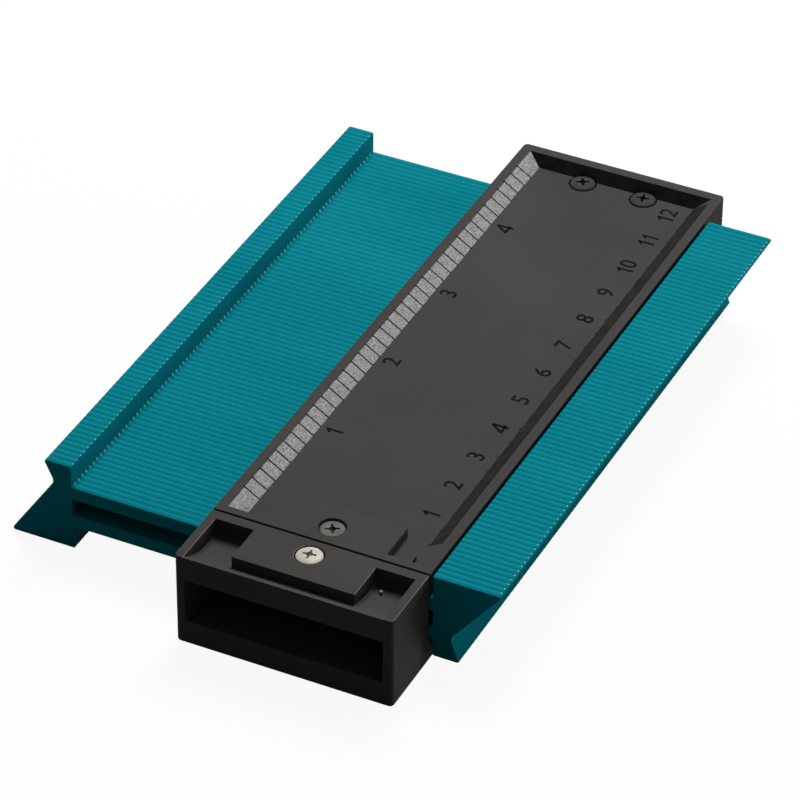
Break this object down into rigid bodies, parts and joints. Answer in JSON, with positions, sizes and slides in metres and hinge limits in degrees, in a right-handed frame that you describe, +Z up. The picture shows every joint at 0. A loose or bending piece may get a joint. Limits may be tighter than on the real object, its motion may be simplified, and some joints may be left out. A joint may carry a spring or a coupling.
{
  "type": "contour gauge",
  "caption": "Plastic contour gauge: a stack of thin sliding fingers copies a profile, held in a ruled body with an open end socket.",
  "frame": {"origin": "centre of the body's flat bottom face, halfway along the body and across it", "axes": "+Z up, +Y along the body away from the end with the socket, +X across the body, the way the fingers slide"},
  "size_m": [0.1022, 0.1532, 0.0203],
  "materials": {
    "body_plastic": "charcoal moulded plastic, fine matt grain",
    "finger_plastic": "teal moulded plastic, satin",
    "guide_steel": "plain steel strip",
    "friction_felt": "dense black felt",
    "black_screw": "black oxide",
    "grey_screw": "dull zinc plate",
    "bright_screw": "bright nickel plate",
    "scale_foil": "silver hot-stamped foil, grainy"
  },
  "bodies": {
    "body": {"base_housing": "body_plastic", "ruler_cover": "body_plastic", "guide_bar": "guide_steel", "friction_strip_upper": "friction_felt", "friction_strip_lower": "friction_felt", "cover_screw_left": "black_screw", "cover_screw_right": "black_screw", "tension_screw": "grey_screw", "coupling_screw": "bright_screw"},
    "fingers_01": {"finger_group_01": "finger_plastic"},
    "fingers_02": {"finger_group_02": "finger_plastic"},
    "fingers_03": {"finger_group_03": "finger_plastic"},
    "fingers_04": {"finger_group_04": "finger_plastic"},
    "fingers_05": {"finger_group_05": "finger_plastic"},
    "fingers_06": {"finger_group_06": "finger_plastic"},
    "fingers_07": {"finger_group_07": "finger_plastic"},
    "fingers_08": {"finger_group_08": "finger_plastic"},
    "fingers_09": {"finger_group_09": "finger_plastic"},
    "fingers_10": {"finger_group_10": "finger_plastic"},
    "fingers_11": {"finger_group_11": "finger_plastic"},
    "fingers_12": {"finger_group_12": "finger_plastic"},
    "fingers_13": {"finger_group_13": "finger_plastic"},
    "fingers_14": {"finger_group_14": "finger_plastic"},
    "fingers_15": {"finger_group_15": "finger_plastic"},
    "fingers_16": {"finger_group_16": "finger_plastic"},
    "fingers_17": {"finger_group_17": "finger_plastic"},
    "fingers_18": {"finger_group_18": "finger_plastic"},
    "fingers_19": {"finger_group_19": "finger_plastic"},
    "fingers_20": {"finger_group_20": "finger_plastic"},
    "fingers_21": {"finger_group_21": "finger_plastic"},
    "fingers_22": {"finger_group_22": "finger_plastic"},
    "fingers_23": {"finger_group_23": "finger_plastic"},
    "fingers_24": {"finger_group_24": "finger_plastic"},
    "fingers_25": {"finger_group_25": "finger_plastic"},
    "fingers_26": {"finger_group_26": "finger_plastic"},
    "fingers_27": {"finger_group_27": "finger_plastic"},
    "fingers_28": {"finger_group_28": "finger_plastic"},
    "fingers_29": {"finger_group_29": "finger_plastic"},
    "fingers_30": {"finger_group_30": "finger_plastic"}
  },
  "joints": [
    {"name": "fingers_01_slide", "type": "slide", "parent": "body", "child": "fingers_01", "axis": [1, 0, 0], "range_m": [-0.0006, 0.0299]},
    {"name": "fingers_02_slide", "type": "slide", "parent": "body", "child": "fingers_02", "axis": [1, 0, 0], "range_m": [-0.0006, 0.0299]},
    {"name": "fingers_03_slide", "type": "slide", "parent": "body", "child": "fingers_03", "axis": [1, 0, 0], "range_m": [-0.0006, 0.0299]},
    {"name": "fingers_04_slide", "type": "slide", "parent": "body", "child": "fingers_04", "axis": [1, 0, 0], "range_m": [-0.0006, 0.0299]},
    {"name": "fingers_05_slide", "type": "slide", "parent": "body", "child": "fingers_05", "axis": [1, 0, 0], "range_m": [-0.0006, 0.0299]},
    {"name": "fingers_06_slide", "type": "slide", "parent": "body", "child": "fingers_06", "axis": [1, 0, 0], "range_m": [-0.0006, 0.0299]},
    {"name": "fingers_07_slide", "type": "slide", "parent": "body", "child": "fingers_07", "axis": [1, 0, 0], "range_m": [-0.0006, 0.0299]},
    {"name": "fingers_08_slide", "type": "slide", "parent": "body", "child": "fingers_08", "axis": [1, 0, 0], "range_m": [-0.0006, 0.0299]},
    {"name": "fingers_09_slide", "type": "slide", "parent": "body", "child": "fingers_09", "axis": [1, 0, 0], "range_m": [-0.0006, 0.0299]},
    {"name": "fingers_10_slide", "type": "slide", "parent": "body", "child": "fingers_10", "axis": [1, 0, 0], "range_m": [-0.0006, 0.0299]},
    {"name": "fingers_11_slide", "type": "slide", "parent": "body", "child": "fingers_11", "axis": [1, 0, 0], "range_m": [-0.0006, 0.0299]},
    {"name": "fingers_12_slide", "type": "slide", "parent": "body", "child": "fingers_12", "axis": [1, 0, 0], "range_m": [-0.0006, 0.0299]},
    {"name": "fingers_13_slide", "type": "slide", "parent": "body", "child": "fingers_13", "axis": [1, 0, 0], "range_m": [-0.0006, 0.0299]},
    {"name": "fingers_14_slide", "type": "slide", "parent": "body", "child": "fingers_14", "axis": [1, 0, 0], "range_m": [-0.0006, 0.0299]},
    {"name": "fingers_15_slide", "type": "slide", "parent": "body", "child": "fingers_15", "axis": [1, 0, 0], "range_m": [-0.0006, 0.0299]},
    {"name": "fingers_16_slide", "type": "slide", "parent": "body", "child": "fingers_16", "axis": [1, 0, 0], "range_m": [-0.0006, 0.0299]},
    {"name": "fingers_17_slide", "type": "slide", "parent": "body", "child": "fingers_17", "axis": [1, 0, 0], "range_m": [-0.0006, 0.0299]},
    {"name": "fingers_18_slide", "type": "slide", "parent": "body", "child": "fingers_18", "axis": [1, 0, 0], "range_m": [-0.0006, 0.0299]},
    {"name": "fingers_19_slide", "type": "slide", "parent": "body", "child": "fingers_19", "axis": [1, 0, 0], "range_m": [-0.0006, 0.0299]},
    {"name": "fingers_20_slide", "type": "slide", "parent": "body", "child": "fingers_20", "axis": [1, 0, 0], "range_m": [-0.0006, 0.0299]},
    {"name": "fingers_21_slide", "type": "slide", "parent": "body", "child": "fingers_21", "axis": [1, 0, 0], "range_m": [-0.0006, 0.0299]},
    {"name": "fingers_22_slide", "type": "slide", "parent": "body", "child": "fingers_22", "axis": [1, 0, 0], "range_m": [-0.0006, 0.0299]},
    {"name": "fingers_23_slide", "type": "slide", "parent": "body", "child": "fingers_23", "axis": [1, 0, 0], "range_m": [-0.0006, 0.0299]},
    {"name": "fingers_24_slide", "type": "slide", "parent": "body", "child": "fingers_24", "axis": [1, 0, 0], "range_m": [-0.0006, 0.0299]},
    {"name": "fingers_25_slide", "type": "slide", "parent": "body", "child": "fingers_25", "axis": [1, 0, 0], "range_m": [-0.0006, 0.0299]},
    {"name": "fingers_26_slide", "type": "slide", "parent": "body", "child": "fingers_26", "axis": [1, 0, 0], "range_m": [-0.0006, 0.0299]},
    {"name": "fingers_27_slide", "type": "slide", "parent": "body", "child": "fingers_27", "axis": [1, 0, 0], "range_m": [-0.0006, 0.0299]},
    {"name": "fingers_28_slide", "type": "slide", "parent": "body", "child": "fingers_28", "axis": [1, 0, 0], "range_m": [-0.0006, 0.0299]},
    {"name": "fingers_29_slide", "type": "slide", "parent": "body", "child": "fingers_29", "axis": [1, 0, 0], "range_m": [-0.0006, 0.0299]},
    {"name": "fingers_30_slide", "type": "slide", "parent": "body", "child": "fingers_30", "axis": [1, 0, 0], "range_m": [-0.0006, 0.0299]}
  ]
}
